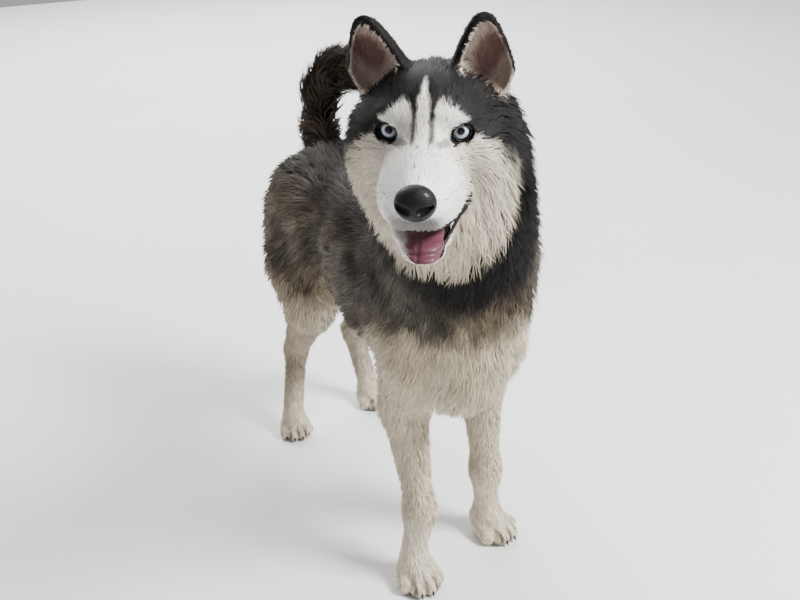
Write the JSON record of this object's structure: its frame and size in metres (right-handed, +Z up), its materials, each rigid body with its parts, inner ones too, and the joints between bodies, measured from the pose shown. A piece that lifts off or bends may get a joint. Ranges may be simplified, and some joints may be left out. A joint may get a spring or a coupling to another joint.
{
  "type": "siberian husky, standing life-size animal model",
  "caption": "Life-size standing Siberian husky with turned head, open mouth, pricked ears, thick ruff and a bushy tail curled over its back",
  "frame": {"origin": "on the floor under the middle of the dog's box, level with the soles of the paws", "axes": "+Z up, the dog faces -Y with its head turned towards -X, and its left side is +X"},
  "size_m": [0.323, 0.8756, 0.8291],
  "materials": {
    "coat_dark": "matte grey and black guard hair",
    "coat_pale": "matte white and cream hair",
    "eye": "wet pale blue iris with a black pupil",
    "nose_leather": "pebbled moist black",
    "tongue": "moist pink"
  },
  "bodies": {
    "root": {"torso_chest": "coat_dark", "torso_barrel": "coat_dark", "torso_haunches": "coat_dark", "neck": "coat_dark", "head": "coat_pale", "lower_jaw": "coat_pale", "nose": "nose_leather", "tongue": "tongue", "ear_left": "coat_dark", "ear_right": "coat_dark", "eye_left": "eye", "eye_right": "eye", "fore_leg_left": "coat_pale", "fore_leg_right": "coat_pale", "hind_shank_left": "coat_pale", "hind_shank_right": "coat_pale", "hind_foot_left": "coat_pale", "hind_foot_right": "coat_pale", "tail_base": "coat_dark", "tail_middle": "coat_dark", "tail_tip": "coat_dark"}
  },
  "joints": []
}
